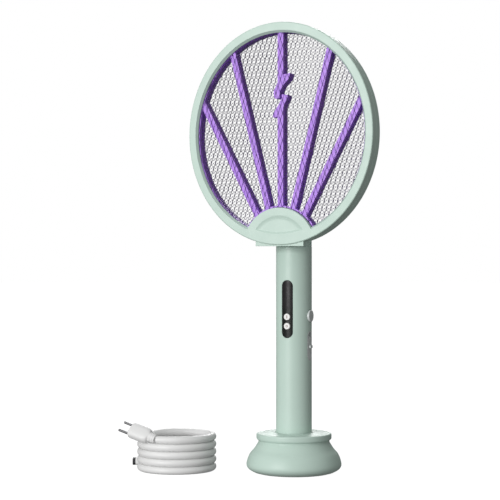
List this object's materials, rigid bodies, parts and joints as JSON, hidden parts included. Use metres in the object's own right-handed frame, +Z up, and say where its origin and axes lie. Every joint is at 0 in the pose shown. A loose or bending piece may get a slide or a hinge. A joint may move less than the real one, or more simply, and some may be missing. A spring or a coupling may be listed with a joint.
{
  "type": "electric fly swatter",
  "caption": "Electric fly swatter with an upright oval mesh head on a round folding handle, standing in a pot-shaped charging dock beside its wound charging lead.",
  "frame": {"origin": "centre of the dock's foot on the surface it stands on, on the axis of the dock and handle tube", "axes": "+Z up along the handle; the head's front face and the display window face -Y; the side buttons are on +X"},
  "size_m": [0.2664, 0.1218, 0.4363],
  "materials": {
    "mint_shell": "satin moulded plastic, pale mint green",
    "purple_ribs": "translucent purple moulded plastic, lit from the hub lamps",
    "mesh_steel": "bright expanded metal",
    "display_black": "glossy smoked window",
    "button_white": "white satin push buttons",
    "side_grey": "pale grey satin",
    "foot_rubber": "matt",
    "screw_steel": "plated steel",
    "ballast_iron": "raw cast",
    "board": "printed circuit board",
    "black_plastic": "moulded, fine grain",
    "contact_brass": "plated contact metal",
    "cell_wrap": "shrink-wrapped steel cell",
    "lamp_lens": "clear lamp bodies",
    "lead_white": "white flexible sheath, satin",
    "pin_nickel": "nickel-plated pins"
  },
  "bodies": {
    "dock": {"dock_shell": "mint_shell", "dock_socket": "mint_shell", "dock_bottom_cover": "mint_shell", "dock_foot_ring": "foot_rubber", "dock_screws": "screw_steel", "dock_ballast": "ballast_iron", "dock_board": "board", "charger_module": "black_plastic", "dock_inlet": "black_plastic", "inlet_pins": "contact_brass"},
    "dock_pins": {"dock_contact_pins": "contact_brass"},
    "handle": {"handle_tube": "mint_shell", "handle_end_cap": "mint_shell", "charge_contacts": "contact_brass", "battery_cradle": "black_plastic", "battery_cell": "cell_wrap", "battery_contacts": "contact_brass", "main_board": "board", "power_switch": "black_plastic", "slide_switch": "screw_steel", "hv_transformer": "black_plastic", "hv_capacitor": "cell_wrap", "display_board": "board", "display_module": "black_plastic", "panel_switches": "black_plastic", "display_window": "display_black", "slider_tray": "side_grey", "hinge_yoke": "mint_shell", "hinge_pin": "screw_steel", "hinge_washers": "screw_steel", "pin_caps": "mint_shell"},
    "upper_button": {"panel_button_upper": "button_white"},
    "lower_button": {"panel_button_lower": "button_white"},
    "power_button": {"power_button": "side_grey"},
    "mode_slider": {"mode_slider": "side_grey"},
    "head": {"head_front_frame": "mint_shell", "head_rear_frame": "mint_shell", "head_screws": "screw_steel", "hinge_lug": "mint_shell", "rib_frame_front": "purple_ribs", "rib_frame_rear": "purple_ribs", "guard_mesh_front": "mesh_steel", "live_mesh": "mesh_steel", "guard_mesh_rear": "mesh_steel", "lamp_board": "board", "hub_lamps": "lamp_lens"},
    "lead": {"lead_coil": "lead_white", "lead_stub": "lead_white", "plug_body": "lead_white", "plug_pins": "pin_nickel", "lead_tail": "lead_white", "connector_body": "lead_white", "connector_face": "black_plastic"}
  },
  "joints": [
    {"name": "swatter_lift", "type": "slide", "parent": "dock", "child": "handle", "axis": [0, 0, 1], "range_m": [0, 0.06]},
    {"name": "head_fold", "type": "hinge", "parent": "handle", "child": "head", "pos_m": [0, 0, 0.227], "axis": [-1, 0, 0], "range_deg": [0, 90]},
    {"name": "upper_button_press", "type": "slide", "parent": "handle", "child": "upper_button", "axis": [0, 1, 0], "range_m": [0, 0.0004], "stiffness_N_per_m": 800, "springref_m": -0.0004},
    {"name": "lower_button_press", "type": "slide", "parent": "handle", "child": "lower_button", "axis": [0, 1, 0], "range_m": [0, 0.0004], "stiffness_N_per_m": 800, "springref_m": -0.0004},
    {"name": "power_button_press", "type": "slide", "parent": "handle", "child": "power_button", "axis": [-1, 0, 0], "range_m": [0, 0.001], "stiffness_N_per_m": 800, "springref_m": -0.0005},
    {"name": "mode_slide", "type": "slide", "parent": "handle", "child": "mode_slider", "axis": [0, 0, 1], "range_m": [0, 0.0042]},
    {"name": "contact_pins_press", "type": "slide", "parent": "dock", "child": "dock_pins", "axis": [0, 0, -1], "range_m": [0, 0.001], "stiffness_N_per_m": 300, "springref_m": -0.0005},
    {"name": "lead_lift", "type": "slide", "parent": "dock", "child": "lead", "axis": [0, 0, 1], "range_m": [0, 0.15]}
  ]
}
